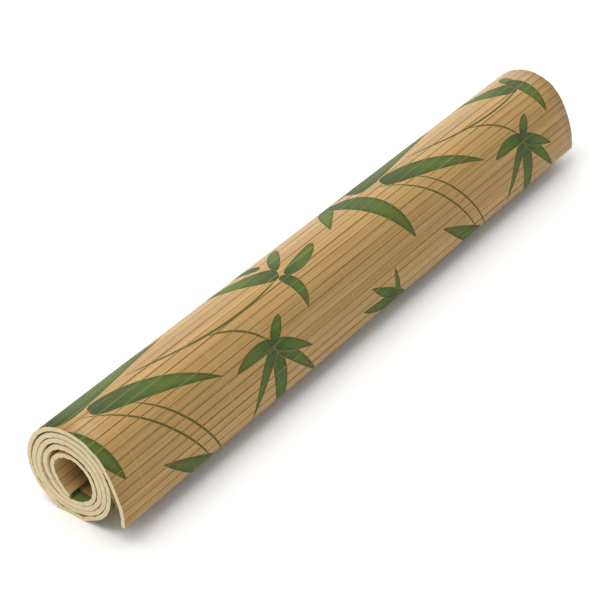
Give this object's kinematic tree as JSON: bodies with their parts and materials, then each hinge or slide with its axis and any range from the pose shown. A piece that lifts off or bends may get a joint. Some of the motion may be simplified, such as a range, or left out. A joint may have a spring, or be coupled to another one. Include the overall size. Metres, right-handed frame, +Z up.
{
  "type": "rolled bamboo placemat",
  "caption": "Bamboo slat placemat with a printed leaf pattern, wound into a loose hollow roll whose outer edge hangs free as a flap.",
  "frame": {"origin": "middle of the underside of the roll's box, on the surface that it rests on", "axes": "+X along the roll and its slats, +Z up, and the free flap hangs on the -Y side"},
  "size_m": [0.3, 0.0428, 0.0375],
  "materials": {
    "bamboo": "matte split bamboo, printed with dark green leaves",
    "thread": "thin pale cotton thread that binds the slats in rows"
  },
  "bodies": {
    "root": {"slat_mat": "bamboo"}
  },
  "joints": []
}
